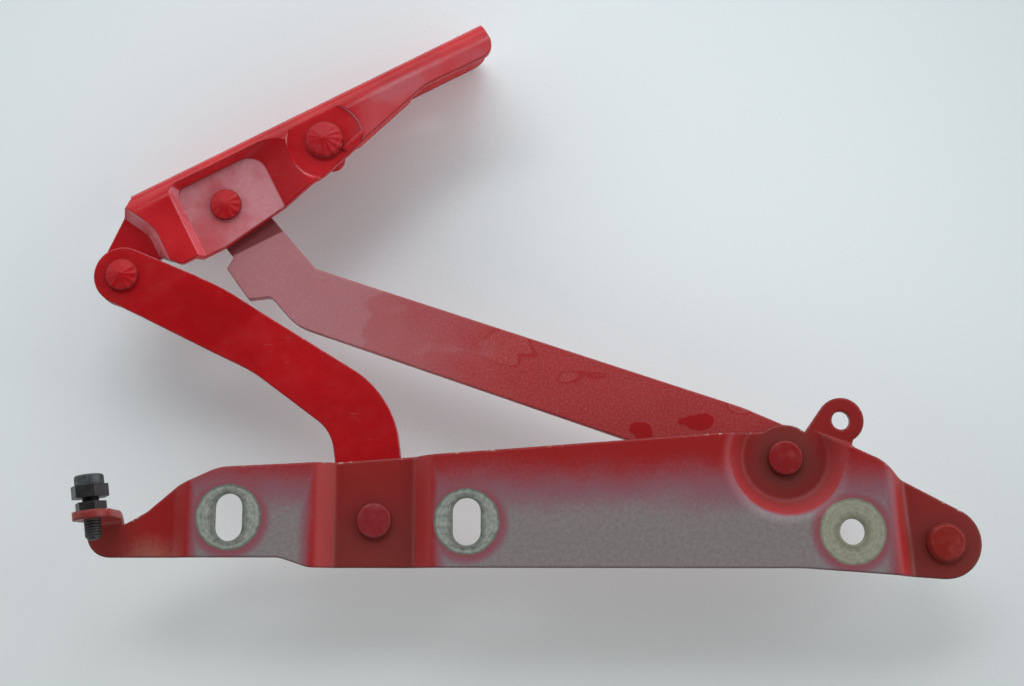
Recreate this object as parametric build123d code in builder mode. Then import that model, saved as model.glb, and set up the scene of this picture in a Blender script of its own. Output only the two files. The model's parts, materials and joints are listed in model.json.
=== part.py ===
from build123d import *
import os
from math import atan2, cos, degrees, radians, sin, tan

# Boot-lid hinge of the four-bar kind, lying flat. Millimetres throughout.
# Origin: centre of the round bolt hole, on the face that is bolted against the body.
# +X runs to the nose of the base plate, +Y from the plate to the lid bracket, and +Z out
# of the bolted face. Everything that moves turns about an axis along Z.

# Sheet thickness of the four pressed pieces
plate_sheet = 3.0
arm_sheet = 4.0
lid_sheet = 2.5

# Clearances and liners of the turning joints
slide_gap = 0.15
running_gap = 0.04
bush_flange = 0.6
bush_wall = 1.0
washer_thickness = 1.0

# Pivots and strut studs, seen along Z
curved_arm_base = (-177.4, 4.4)
long_arm_base = (-22.9, 27.8)
curved_arm_length = 135.3
curved_arm_angle = 136.3
long_arm_length = 236.1
long_arm_angle = 155.2
base_strut_point = (36.0, -3.8)
strut_plane_depth = 27.0

# Depths that the base plate is pressed in below its bolted face
channel_depth = 6.5
pocket_depth = 8.0
tail_depth = 3.0
lug_depth = pocket_depth

# Lengths of the base plate, measured along X from its holes and pivots
first_slot_place = (-231.0, 5.5)
second_slot_place = (-142.5, 3.8)
tail_reach = 53.0
nose_radius = 13.4
channel_floor_width = 29.0
channel_wall_run = 7.3
pocket_floor_radius = 16.0
pocket_wall_run = 7.0
plate_bend = 2.5

# Bolt holes and slots
bolt_hole_radius = 4.8
slot_width = 10.4
slot_length = 17.6
lug_place = (-1.2, 42.2)
lug_radius = 8.6
lug_hole_radius = 3.5

# Arms
arm_base_radius = 12.3
arm_lid_radius = 11.0
long_arm_neck_radius = 10.3
arm_bend = 6.0

# Lid bracket, in its own frame: origin at the curved arm's pivot, x along the flange
lid_turn = 27.2
flange_line = 30.0
flange_start = 15.2
flange_length = 153.6
flange_depth = 44.5
flange_bend = 10.5
flange_hole_radius = 4.75
lid_face_drop = 1.5
pad_depth = 5.4
stud_pad_depth = 0.8
stud_pad_radius = 15.5
lid_strut_point = (92.5, 12.7)
lip_depth = 5.0
lip_bend = 3.2

# Rivets, studs and the stop screw
shank_radius = 4.0
base_head_radius = 6.6
lid_head_radius = 6.1
head_height = 3.0
cone_height = 3.6
cone_tip_radius = 0.6
cone_rounding = 0.8
tail_radius = 6.2
tail_height = 2.6
tail_rounding = 1.2
edge_rounding = 0.3
washer_radius = 8.5
ball_radius = 5.0
neck_radius = 3.0
stud_head_radius = 7.4
stud_collar_radius = 7.0
stud_collar_height = 2.5
stop_axis_height = 11.0
tab_half_width = 7.0
tab_turn = 7.5
screw_radius = 3.0
nut_across_flats = 10.0
nut_height = 3.2
collar_across_flats = 12.0
collar_height = 4.6
cap_radius = 5.3
cap_height = 3.8
screw_neck = 1.6
screw_end = 9.0


os.makedirs("parts", exist_ok=True)


def polar(centre, radius, angle):
    """Point at a radius and an angle in degrees from a centre."""
    return (centre[0] + radius * cos(radians(angle)), centre[1] + radius * sin(radians(angle)))


def section_plane(centre):
    """Upright plane through a pivot, in which x is the radius and y the height."""
    return Plane(origin=(centre[0], centre[1], 0), x_dir=(1, 0, 0), z_dir=(0, -1, 0))


def upright(centre):
    """Axis along Z through a pivot."""
    return Axis((centre[0], centre[1], 0), (0, 0, 1))


def rounded_outline(corners):
    """Closed line through corners, each given as a point and the radius that rounds it."""
    points = [point for point, _ in corners]
    FilletPolyline(*points, radius=[rounding for _, rounding in corners], close=True)


def wall_growth(sheet, run, drop):
    """How far a pressed wall's far face stands outside its near face, seen along Z."""
    return sheet * tan(atan2(drop, run) / 2)


# Heights of the faces that stack up at each pivot
channel_back = -(channel_depth + plate_sheet)
pocket_back = -(pocket_depth + plate_sheet)
joint_space = bush_flange + slide_gap
curved_arm_low_top = channel_back - joint_space
curved_arm_low_back = curved_arm_low_top - arm_sheet
long_arm_base_top = pocket_back - joint_space
long_arm_base_back = long_arm_base_top - arm_sheet
pad_top = -(lid_face_drop + pad_depth)
pad_back = pad_top - lid_sheet
curved_arm_high_back = pad_top + joint_space
curved_arm_high_top = curved_arm_high_back + arm_sheet
long_arm_lid_top = pad_back - joint_space
long_arm_lid_back = long_arm_lid_top - arm_sheet
bush_radius = shank_radius + running_gap + bush_wall

# Pivots that the two arms carry, and the frame of the lid bracket
lid_front = polar(curved_arm_base, curved_arm_length, curved_arm_angle)
lid_rear = polar(long_arm_base, long_arm_length, long_arm_angle)
lid_plane = Plane(
    origin=(lid_front[0], lid_front[1], 0),
    x_dir=(cos(radians(lid_turn)), sin(radians(lid_turn)), 0),
    z_dir=(0, 0, 1),
)
rear_pivot = lid_plane.to_local_coords(Vector(lid_rear[0], lid_rear[1], 0))
strut_in_plan = lid_plane.from_local_coords(Vector(lid_strut_point[0], lid_strut_point[1], 0))
lid_strut_plan = (strut_in_plan.X, strut_in_plan.Y)

# Base plate
# Pressed from one sheet: outline, less what lies above its face and below its back.
tail_end = first_slot_place[0] - tail_reach
tail_ramp_top = first_slot_place[0] - 16.0
tail_ramp_run = 5.0
tail_level = -tail_depth
nose_ramp_top = base_strut_point[0] - 19.7
nose_ramp_run = 6.0
nose_ramp_turn = 4.8
tail_lower_edge = -9.3
tail_upper_edge = 3.0
plate_lower_edge = -13.0
pocket_edge_radius = arm_base_radius + 0.4
form_floor = -60.0
form_margin = 50.0

# The small lug: its root on the plate's upper edge beside the pocket, and its straight sides
lug_root_left = (-15.3, 37.2)
lug_root_right = (2.0, 31.0)
lug_turn = degrees(atan2(lug_root_right[1] - lug_root_left[1], lug_root_right[0] - lug_root_left[0]))
lug_left_side = 150.0
lug_right_side = 25.0
lug_wall_run = 2.0
lug_cut_margin = 6.0


def plate_form(inset):
    """Solid below the plate's bolted face, with the face moved inwards by inset."""
    channel_half = channel_floor_width / 2
    channel_left = curved_arm_base[0] - channel_half
    channel_right = curved_arm_base[0] + channel_half
    outside = plate_bend + plate_sheet
    with BuildPart() as form:
        with BuildSketch(Plane.XZ):
            with BuildLine():
                rounded_outline([
                    ((tail_end - form_margin, form_floor), 0),
                    ((tail_end - form_margin, tail_level), 0),
                    ((tail_ramp_top - tail_ramp_run, tail_level), plate_bend),
                    ((tail_ramp_top, 0), outside),
                    ((channel_left - channel_wall_run, 0), outside),
                    ((channel_left, -channel_depth), plate_bend),
                    ((channel_right, -channel_depth), plate_bend),
                    ((channel_right + channel_wall_run, 0), outside),
                    ((base_strut_point[0] + form_margin, 0), 0),
                    ((base_strut_point[0] + form_margin, form_floor), 0),
                ])
            make_face()
            if inset > 0:
                offset(amount=-inset)
        extrude(amount=2 * form_margin, both=True)

        # Step down to the nose, along a line that leans a little from the Y direction
        nose_step = Plane(
            origin=(nose_ramp_top, 0, 0),
            x_dir=(cos(radians(nose_ramp_turn)), sin(radians(nose_ramp_turn)), 0),
            z_dir=(sin(radians(nose_ramp_turn)), -cos(radians(nose_ramp_turn)), 0),
        )
        growth = wall_growth(inset, nose_ramp_run, pocket_depth)
        above = 10.0
        ramp_slope = nose_ramp_run / pocket_depth
        with BuildSketch(nose_step):
            with BuildLine():
                rounded_outline([
                    ((-growth - ramp_slope * (inset + above), above), 0),
                    ((nose_ramp_run - growth, -pocket_depth - inset), plate_bend + inset),
                    ((3 * form_margin, -pocket_depth - inset), 0),
                    ((3 * form_margin, above), 0),
                ])
            make_face()
        extrude(amount=2 * form_margin, both=True, mode=Mode.SUBTRACT)
        along_step = form.edges().filter_by(Axis((0, 0, 0), nose_step.z_dir))
        fillet(along_step.sort_by(Axis.Z)[-1], radius=outside - inset)

        # Round pocket under the long arm's pivot
        growth = wall_growth(inset, pocket_wall_run, pocket_depth)
        with BuildSketch(section_plane(long_arm_base)):
            with BuildLine():
                Polyline(
                    (0, above),
                    (0, -pocket_depth - inset),
                    (pocket_floor_radius + growth, -pocket_depth - inset),
                    (pocket_floor_radius + pocket_wall_run + growth, -inset),
                    (pocket_floor_radius + pocket_wall_run + growth, above),
                    close=True,
                )
            make_face()
        revolve(axis=upright(long_arm_base), mode=Mode.SUBTRACT)
        rings = form.edges(Select.LAST).filter_by(GeomType.CIRCLE).sort_by(Axis.Z)
        fillet(rings[0], radius=plate_bend + inset)
        mouth_radius = pocket_floor_radius + pocket_wall_run + growth
        circles = form.edges().filter_by(GeomType.CIRCLE)
        fillet(circles.filter_by(lambda edge: abs(edge.radius - mouth_radius) < 0.01), radius=outside - inset)

        # Set-down root of the small lug
        lug_growth = wall_growth(inset, lug_wall_run, lug_depth)
        wall_left = polar(lug_root_left, -lug_cut_margin, lug_turn)
        wall_right = polar(lug_root_right, lug_cut_margin, lug_turn)
        with BuildSketch(Plane.XY.offset(-inset)):
            with BuildLine():
                Polyline(
                    polar(wall_left, lug_growth, lug_turn - 90),
                    polar(wall_right, lug_growth, lug_turn - 90),
                    polar(wall_right, 40, lug_turn + 90),
                    polar(wall_left, 40, lug_turn + 90),
                    close=True,
                )
            make_face()
        lug_taper = degrees(atan2(lug_wall_run, lug_depth))
        extrude(amount=-lug_depth, taper=lug_taper, mode=Mode.SUBTRACT)
    return form.part


# The tab: the tail's edge is bent up towards +Z and rounded about the stop screw
tab_centre = (tail_end + 5.6, tail_upper_edge + 2.6, 0)
tab_along = (cos(radians(tab_turn)), sin(radians(tab_turn)), 0)
tab_normal = (-sin(radians(tab_turn)), cos(radians(tab_turn)), 0)
tab_face = plate_sheet / 2
tab_foot = 6.0
tab_lower_left = 5.6
tab_front = Plane(origin=tab_centre, x_dir=tab_along, z_dir=-Vector(*tab_normal))

with BuildPart() as stop_tab:
    with BuildSketch(Plane(origin=tab_centre, x_dir=tab_normal, z_dir=tab_along)):
        with BuildLine():
            rounded_outline([
                ((tab_face, stop_axis_height + tab_half_width), 0),
                ((tab_face, tail_level - plate_sheet), plate_bend + plate_sheet),
                ((-tab_foot, tail_level - plate_sheet), 0),
                ((-tab_foot, tail_level), 0),
                ((-tab_face, tail_level), plate_bend),
                ((-tab_face, stop_axis_height + tab_half_width), 0),
            ])
        make_face()
    extrude(amount=tab_half_width, both=True)
    with BuildSketch(tab_front):
        with Locations((0, stop_axis_height)):
            Circle(tab_half_width)
        with BuildLine():
            Polyline(
                (-tab_half_width, stop_axis_height),
                (tab_half_width, stop_axis_height),
                (tab_half_width, -20),
                (-tab_lower_left, -20),
                (-tab_lower_left, tail_level),
                close=True,
            )
        make_face()
    extrude(amount=20, both=True, mode=Mode.INTERSECT)
    with BuildSketch(tab_front):
        with Locations((0, stop_axis_height)):
            Circle(screw_radius)
    extrude(amount=plate_sheet, both=True, mode=Mode.SUBTRACT)

with BuildPart() as base_plate:
    with BuildSketch(Plane.XY.offset(form_floor / 2)):
        with BuildLine():
            rounded_outline([
                ((tail_end, tail_lower_edge), 8.5),
                ((tail_end, tail_upper_edge), 1),
                ((tail_end + 14, tail_upper_edge), 3),
                ((tail_end + 22, tail_upper_edge + 4.5), 12),
                ((first_slot_place[0] - 20, first_slot_place[1] + 11.5), 14),
                ((first_slot_place[0] - 4, first_slot_place[1] + 18.7), 16),
                ((curved_arm_base[0] - 15, curved_arm_base[1] + 21.8), 40),
                ((second_slot_place[0] + 12.5, second_slot_place[1] + 26.8), 60),
                ((long_arm_base[0] - 33, long_arm_base[1] + 8.2), 20),
                (polar(long_arm_base, pocket_edge_radius, 128), 0),
                (long_arm_base, 0),
                (polar(long_arm_base, pocket_edge_radius, 52), 0),
                (lug_root_right, 3),
                ((lug_root_right[0] + 9.5, lug_root_right[1] - 4.4), 20),
                ((lug_root_right[0] + 17, lug_root_right[1] - 10.7), 6),
                (polar(base_strut_point, nose_radius, 68), 0),
                (base_strut_point, 0),
                (polar(base_strut_point, nose_radius, -94), 0),
                ((long_arm_base[0] + 4.9, plate_lower_edge - 0.3), 80),
                ((first_slot_place[0] + 30, plate_lower_edge), 12),
                ((first_slot_place[0] + 19, tail_lower_edge), 12),
            ])
        make_face()
        with Locations(long_arm_base):
            Circle(pocket_edge_radius)
        with Locations(base_strut_point):
            Circle(nose_radius)
        with Locations(lug_place):
            Circle(lug_radius)
        with BuildLine():
            Polyline(
                lug_root_left,
                polar(lug_place, lug_radius, lug_left_side),
                polar(lug_place, lug_radius, lug_right_side),
                lug_root_right,
                (0, 20),
                close=True,
            )
        make_face()
    extrude(amount=-form_floor)
    add(plate_form(0), mode=Mode.INTERSECT)
    add(plate_form(plate_sheet), mode=Mode.SUBTRACT)

    add(stop_tab.part)

    # Bolt slots run across the plate, so that the hinge can be set up and down
    with BuildSketch(Plane.XY.offset(-2 * plate_sheet)):
        with Locations(first_slot_place, second_slot_place):
            SlotOverall(slot_length, slot_width, rotation=90)
        Circle(bolt_hole_radius)
    extrude(amount=3 * plate_sheet, mode=Mode.SUBTRACT)
    with BuildSketch(Plane.XY.offset(form_floor / 2)):
        with Locations(lug_place):
            Circle(lug_hole_radius)
        with Locations(curved_arm_base, long_arm_base, base_strut_point):
            Circle(shank_radius)
    extrude(amount=-form_floor / 2 + plate_sheet, mode=Mode.SUBTRACT)
base_plate.part.label = "base_plate"
export_step(base_plate.part, "parts/base_plate.step")

# Curved arm
# The lower end runs behind the plate's channel, the upper end over the lid bracket's pad,
# and a joggle between two slanting bend lines lifts the sheet from one to the other.
curved_upper_edge = curved_arm_angle - 159.3
curved_lower_edge = curved_arm_angle - 161.8
curved_foot_turn = 7.5
arm_margin = 60.0
joggle_turn = 38.0
joggle_start = 16.5
joggle_run = 24.8
joggle_plane = Plane(
    origin=(lid_front[0], lid_front[1], 0),
    x_dir=(sin(radians(joggle_turn)), -cos(radians(joggle_turn)), 0),
    z_dir=(cos(radians(joggle_turn)), sin(radians(joggle_turn)), 0),
)

with BuildPart() as curved_arm:
    with BuildSketch(joggle_plane):
        with BuildLine():
            rounded_outline([
                ((-arm_margin, -curved_arm_high_top), 0),
                ((joggle_start, -curved_arm_high_top), arm_bend + arm_sheet),
                ((joggle_start + joggle_run, -curved_arm_low_top), arm_bend),
                ((curved_arm_length + arm_margin, -curved_arm_low_top), 0),
                ((curved_arm_length + arm_margin, -curved_arm_low_back), 0),
                ((joggle_start + joggle_run, -curved_arm_low_back), arm_bend + arm_sheet),
                ((joggle_start, -curved_arm_high_back), arm_bend),
                ((-arm_margin, -curved_arm_high_back), 0),
            ])
        make_face()
    extrude(amount=curved_arm_length + arm_margin, both=True)
    with BuildSketch(Plane.XY.offset(form_floor / 2)):
        with BuildLine():
            rounded_outline([
                (lid_front, 0),
                (polar(lid_front, arm_lid_radius, curved_upper_edge + 90), 0),
                ((lid_front[0] + 39.2, lid_front[1] - 4.8), 80),
                ((curved_arm_base[0] + 6.1, curved_arm_base[1] + 48.4), 38),
                (polar(curved_arm_base, arm_base_radius, curved_foot_turn), 0),
                (curved_arm_base, 0),
                (polar(curved_arm_base, arm_base_radius, curved_foot_turn + 180), 0),
                ((curved_arm_base[0] - 17.4, curved_arm_base[1] + 34.3), 16),
                ((lid_front[0] + 49.2, lid_front[1] - 35.8), 60),
                (polar(lid_front, arm_lid_radius, curved_lower_edge - 90), 0),
            ])
        make_face()
        with Locations(lid_front):
            Circle(arm_lid_radius)
        with Locations(curved_arm_base):
            Circle(arm_base_radius)
        with Locations(lid_front, curved_arm_base):
            Circle(bush_radius, mode=Mode.SUBTRACT)
    extrude(amount=-form_floor, mode=Mode.INTERSECT)
curved_arm.part.label = "curved_arm"
export_step(curved_arm.part, "parts/curved_arm.step")

# Long arm
# Nearly straight, with a hooked and notched lid end that passes behind the bracket's pad.
hook_turn = -49.0
long_upper_edge = -25.2
long_lower_edge = -18.8
hook_corner = (lid_rear[0] + 34.8, lid_rear[1] - 24.4)
rise_line = 67.0
rise_start = 26.0
rise_end = 50.0
rise_plane = Plane(
    origin=(lid_rear[0], lid_rear[1], 0),
    x_dir=(sin(radians(rise_line)), -cos(radians(rise_line)), 0),
    z_dir=(cos(radians(rise_line)), sin(radians(rise_line)), 0),
)

with BuildPart() as long_arm:
    with BuildSketch(rise_plane):
        with BuildLine():
            rounded_outline([
                ((-arm_margin, -long_arm_lid_top), 0),
                ((rise_start, -long_arm_lid_top), arm_bend + arm_sheet),
                ((rise_end, -long_arm_base_top), arm_bend),
                ((long_arm_length + arm_margin, -long_arm_base_top), 0),
                ((long_arm_length + arm_margin, -long_arm_base_back), 0),
                ((rise_end, -long_arm_base_back), arm_bend + arm_sheet),
                ((rise_start, -long_arm_lid_back), arm_bend),
                ((-arm_margin, -long_arm_lid_back), 0),
            ])
        make_face()
    extrude(amount=long_arm_length + arm_margin, both=True)
    with BuildSketch(Plane.XY.offset(form_floor / 2)):
        with BuildLine():
            rounded_outline([
                (lid_rear, 0),
                (polar(lid_rear, long_arm_neck_radius, hook_turn + 90), 0),
                (hook_corner, 3),
                ((long_arm_base[0] - 14.9, long_arm_base[1] + 19.9), 40),
                (polar(long_arm_base, arm_base_radius, long_upper_edge + 90), 0),
                (long_arm_base, 0),
                (polar(long_arm_base, arm_base_radius, long_lower_edge - 90), 0),
                ((lid_rear[0] + 27.6, lid_rear[1] - 47.0), 20),
                ((lid_rear[0] + 17.7, lid_rear[1] - 35.7), 3),
                ((lid_rear[0] + 9.2, lid_rear[1] - 36.9), 1.5),
                ((lid_rear[0] + 0.4, lid_rear[1] - 24.7), 1),
                ((lid_rear[0] + 2.9, lid_rear[1] - 20.3), 1),
                (polar(lid_rear, long_arm_neck_radius, hook_turn - 90), 0),
            ])
        make_face()
        with Locations(lid_rear):
            Circle(long_arm_neck_radius)
        with Locations(long_arm_base):
            Circle(arm_base_radius)
        with Locations(lid_rear, long_arm_base):
            Circle(bush_radius, mode=Mode.SUBTRACT)
    extrude(amount=-form_floor, mode=Mode.INTERSECT)
long_arm.part.label = "long_arm"
export_step(long_arm.part, "parts/long_arm.step")

# Lid bracket
# Pressed web with two sunken pivot pads, a shallow round pad under the strut stud, a deep
# flange along its straight edge and a short lip along the edge opposite.
flange_end = flange_start + flange_length
ear_radius = 11.2
arm_side_gap = 1.6
pad_left = 29.5
pad_right = 79.5
pad_steep_run = 2.0
pad_gentle_run = 12.5
pad_high = 24.5
ear_wall_run = 3.5
ear_wall_top = (5.0, 38.3)
ear_wall_knee = (19.0, 11.2)
ear_reach = 55.0
lid_margin = 60.0
pad_bend = 1.5
lip_start = (86.5, 0.2)
lip_slope = 16.1
lip_first_end = 12.0
lip_last_end = 50.0
lip_end_slant = 6.0
slope_length = 53.0
tip_edge = 14.4
ridge_reach = 6.6
flange_hole_inset = 32.0
flange_hole_drop = flange_depth / 2 + 4
deep_corner_radius = 6.0


def is_wall_foot(place):
    """Whether an edge centred there, in the bracket's frame, is the foot of the front pad's wall."""
    return place.X > ear_wall_top[0] and place.Y > -ear_reach + 5


def lid_form(inset):
    """Solid below the bracket's outer face, with the face moved inwards by inset."""
    section = Plane(
        origin=lid_plane.origin - lid_margin * lid_plane.x_dir,
        x_dir=lid_plane.y_dir,
        z_dir=lid_plane.x_dir,
    )
    top = -lid_face_drop
    with BuildPart() as form:
        with BuildSketch(section):
            with BuildLine():
                rounded_outline([
                    ((-lid_margin, top), 0),
                    ((flange_line, top), flange_bend),
                    ((flange_line, 2 * form_floor), 0),
                    ((-lid_margin, 2 * form_floor), 0),
                ])
            make_face()
            if inset > 0:
                offset(amount=-inset)
        extrude(amount=flange_end + 2 * lid_margin)

        # Pad under the front pivot: everything beyond a slanting wall
        growth = wall_growth(inset, ear_wall_run, pad_depth)
        with BuildSketch(lid_plane.offset(top - inset)):
            with BuildLine():
                rounded_outline([
                    ((-ear_reach, ear_wall_top[1]), 0),
                    ((ear_wall_top[0] + growth, ear_wall_top[1]), 0),
                    ((ear_wall_knee[0] + growth, ear_wall_knee[1]), 14),
                    ((ear_wall_knee[0] - 0.5 + growth, -ear_reach), 0),
                    ((-ear_reach, -ear_reach), 0),
                ])
            make_face()
        ear_taper = degrees(atan2(ear_wall_run, pad_depth))
        extrude(amount=-pad_depth, taper=ear_taper, mode=Mode.SUBTRACT)
        foot = form.edges(Select.LAST).group_by(Axis.Z)[0]
        wall_foot = foot.filter_by(lambda edge: is_wall_foot(lid_plane.to_local_coords(edge.center())))
        fillet(wall_foot, radius=pad_bend + inset)

        # Pad under the rear pivot: steep on the left and along the flange, gentle on the right
        steep = wall_growth(inset, pad_steep_run, pad_depth)
        gentle = wall_growth(inset, pad_gentle_run, pad_depth)
        with BuildSketch(lid_plane.offset(top - inset)):
            with BuildLine():
                rounded_outline([
                    ((pad_left - steep, -ear_reach), 0),
                    ((pad_left - steep, pad_high + steep), 4),
                    ((pad_right + gentle, pad_high + steep), 8),
                    ((pad_right + gentle, -ear_reach), 0),
                ])
            make_face()
        with BuildSketch(lid_plane.offset(top - inset - pad_depth)):
            with BuildLine():
                rounded_outline([
                    ((pad_left + pad_steep_run - steep, -ear_reach), 0),
                    ((pad_left + pad_steep_run - steep, pad_high - pad_steep_run + steep), 4),
                    ((pad_right - pad_gentle_run + gentle, pad_high - pad_steep_run + steep), 8),
                    ((pad_right - pad_gentle_run + gentle, -ear_reach), 0),
                ])
            make_face()
        loft(ruled=True, mode=Mode.SUBTRACT)

        # Shallow round pad under the strut stud
        with BuildSketch(lid_plane.offset(top - inset)):
            with Locations(lid_strut_point):
                Circle(stud_pad_radius + wall_growth(inset, 1, 1))
        extrude(amount=-stud_pad_depth, taper=45, mode=Mode.SUBTRACT)
    return form.part


# Lip: the web's edge opposite the flange is turned down, with slanting ends
lip_root = lid_plane.from_local_coords(Vector(lip_start[0], lip_start[1], -lid_face_drop))
lip_along = Vector(cos(radians(lid_turn + lip_slope)), sin(radians(lid_turn + lip_slope)), 0)
lip_out = Vector(lip_along.Y, -lip_along.X, 0)
with BuildPart() as lip:
    with BuildSketch(Plane(origin=lip_root, x_dir=lip_out, z_dir=lip_along)):
        with BuildLine():
            rounded_outline([
                ((-lip_bend, 0), 0),
                ((0, 0), lip_bend - 0.2),
                ((0, lip_depth), 0),
                ((-lid_sheet, lip_depth), 0),
                ((-lid_sheet, lid_sheet), lip_bend - lid_sheet - 0.2),
                ((-lip_bend, lid_sheet), 0),
            ])
        make_face()
    extrude(amount=lip_last_end + lip_end_slant)
    with BuildSketch(Plane(origin=lip_root, x_dir=lip_along, z_dir=lip_out)):
        with BuildLine():
            Polyline(
                (lip_first_end, 1),
                (lip_first_end, 0),
                (lip_first_end + lip_end_slant, -lip_depth),
                (lip_last_end - lip_end_slant, -lip_depth),
                (lip_last_end, 0),
                (lip_last_end, 1),
                close=True,
            )
        make_face()
    extrude(amount=2 * lip_bend, both=True, mode=Mode.INTERSECT)

with BuildPart() as lid_bracket:
    # The ridge between the pads stops at a line that stays clear of the curved arm's edge
    clear_line = arm_lid_radius + arm_side_gap
    across = cos(radians(curved_upper_edge + 90 - lid_turn))
    along = sin(radians(curved_upper_edge + 90 - lid_turn))
    ridge_foot = (flange_start, (clear_line - flange_start * across) / along)
    ridge_corner = ((clear_line + ridge_reach * along) / across, -ridge_reach)
    with BuildSketch(lid_plane.offset(-lid_face_drop - flange_depth)):
        with BuildLine():
            rounded_outline([
                ((flange_start, flange_line + 1), 0),
                ((flange_start, flange_line - lid_sheet - 0.3), 0),
                ((flange_start - 2.7, flange_line - 5.6), 3),
                (polar((0, 0), ear_radius, 128.5), 0),
                ((0, 0), 0),
                (polar((0, 0), ear_radius, -25), 0),
                (ridge_foot, 1),
                (ridge_corner, 3),
                ((rear_pivot.X - 7, rear_pivot.Y - 15), 20),
                (lip_start, 8),
                (polar(lip_start, slope_length, lip_slope), 20),
                ((flange_end, tip_edge), 6),
                ((flange_end, flange_line + 1), 0),
            ])
        make_face()
        Circle(ear_radius)
    extrude(amount=flange_depth + 1)
    add(lid_form(0), mode=Mode.INTERSECT)
    add(lid_form(lid_sheet), mode=Mode.SUBTRACT)

    add(lip.part)

    # Rivet and stud holes along Z, and two bolt holes through the flange
    with BuildSketch(lid_plane.offset(form_floor)):
        with Locations((0, 0), (rear_pivot.X, rear_pivot.Y), lid_strut_point):
            Circle(shank_radius)
    extrude(amount=-form_floor + 5, mode=Mode.SUBTRACT)
    flange_plane = Plane(
        origin=lid_plane.from_local_coords(Vector(0, flange_line + 2, 0)),
        x_dir=lid_plane.x_dir,
        z_dir=lid_plane.y_dir,
    )
    with BuildSketch(flange_plane):
        first_hole = (flange_start + flange_hole_inset, flange_hole_drop)
        second_hole = (flange_end - flange_hole_inset, flange_hole_drop)
        with Locations(first_hole, second_hole):
            Circle(flange_hole_radius)
    extrude(amount=-lid_sheet - 4, mode=Mode.SUBTRACT)
    across_flange = Axis((0, 0, 0), lid_plane.y_dir)
    deep_corners = lid_bracket.edges().filter_by(across_flange).group_by(Axis.Z)[0]
    fillet(deep_corners, radius=deep_corner_radius)
lid_bracket.part.label = "lid_bracket"
export_step(lid_bracket.part, "parts/lid_bracket.step")

# Pivot rivets
# Each has a head on the bolted face's side of the stack, a plain shank in the bush, and a
# tail that is formed over a washer.
base_stacks = {
    "curved_arm_base": (curved_arm_base, -channel_depth, curved_arm_low_top, curved_arm_low_back),
    "long_arm_base": (long_arm_base, -pocket_depth, long_arm_base_top, long_arm_base_back),
}
for stack_name, (centre, head_seat, arm_top, arm_back) in base_stacks.items():
    washer_face = arm_back - slide_gap
    tail_seat = washer_face - washer_thickness
    tail_end_height = tail_seat - tail_height
    with BuildPart() as base_rivet:
        with BuildSketch(section_plane(centre)):
            with BuildLine():
                rounded_outline([
                    ((0, tail_end_height), 0),
                    ((tail_radius, tail_end_height), tail_rounding),
                    ((tail_radius, tail_seat), edge_rounding),
                    ((shank_radius, tail_seat), 0),
                    ((shank_radius, head_seat), 0),
                    ((base_head_radius, head_seat), edge_rounding),
                    ((base_head_radius, head_seat + head_height - 0.4), 1.2),
                    ((0, head_seat + head_height), 0),
                ])
            make_face()
        revolve(axis=upright(centre))
    base_rivet.part.label = stack_name + "_rivet"
    export_step(base_rivet.part, "parts/" + stack_name + "_rivet.step")

    with BuildPart() as base_washer:
        with BuildSketch(Plane.XY.offset(tail_seat)):
            with Locations(centre):
                Circle(washer_radius)
                Circle(shank_radius, mode=Mode.SUBTRACT)
        extrude(amount=washer_thickness)
    base_washer.part.label = stack_name + "_washer"
    export_step(base_washer.part, "parts/" + stack_name + "_washer.step")

# Rivet of the curved arm and the lid bracket: pointed head over the arm, tail on the bracket
with BuildPart() as curved_arm_lid_rivet:
    head_seat = curved_arm_high_top + slide_gap
    tail_end_height = pad_back - tail_height
    with BuildSketch(section_plane(lid_front)):
        with BuildLine():
            rounded_outline([
                ((0, tail_end_height), 0),
                ((tail_radius, tail_end_height), tail_rounding),
                ((tail_radius, pad_back), edge_rounding),
                ((shank_radius, pad_back), 0),
                ((shank_radius, head_seat), 0),
                ((lid_head_radius, head_seat), edge_rounding),
                ((lid_head_radius, head_seat + cone_height / 2), cone_rounding),
                ((cone_tip_radius, head_seat + cone_height), edge_rounding),
                ((0, head_seat + cone_height), 0),
            ])
        make_face()
    revolve(axis=upright(lid_front))
curved_arm_lid_rivet.part.label = "curved_arm_lid_rivet"
export_step(curved_arm_lid_rivet.part, "parts/curved_arm_lid_rivet.step")

# Rivet of the long arm and the lid bracket: its pointed head and the shank in the bracket
with BuildPart() as long_arm_lid_rivet:
    with BuildSketch(section_plane(lid_rear)):
        with BuildLine():
            rounded_outline([
                ((0, pad_back), 0),
                ((shank_radius, pad_back), 0),
                ((shank_radius, pad_top), 0),
                ((lid_head_radius, pad_top), edge_rounding),
                ((lid_head_radius, pad_top + cone_height / 2), cone_rounding),
                ((cone_tip_radius, pad_top + cone_height), edge_rounding),
                ((0, pad_top + cone_height), 0),
            ])
        make_face()
    revolve(axis=upright(lid_rear))
long_arm_lid_rivet.part.label = "long_arm_lid_rivet"
export_step(long_arm_lid_rivet.part, "parts/long_arm_lid_rivet.step")

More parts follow.
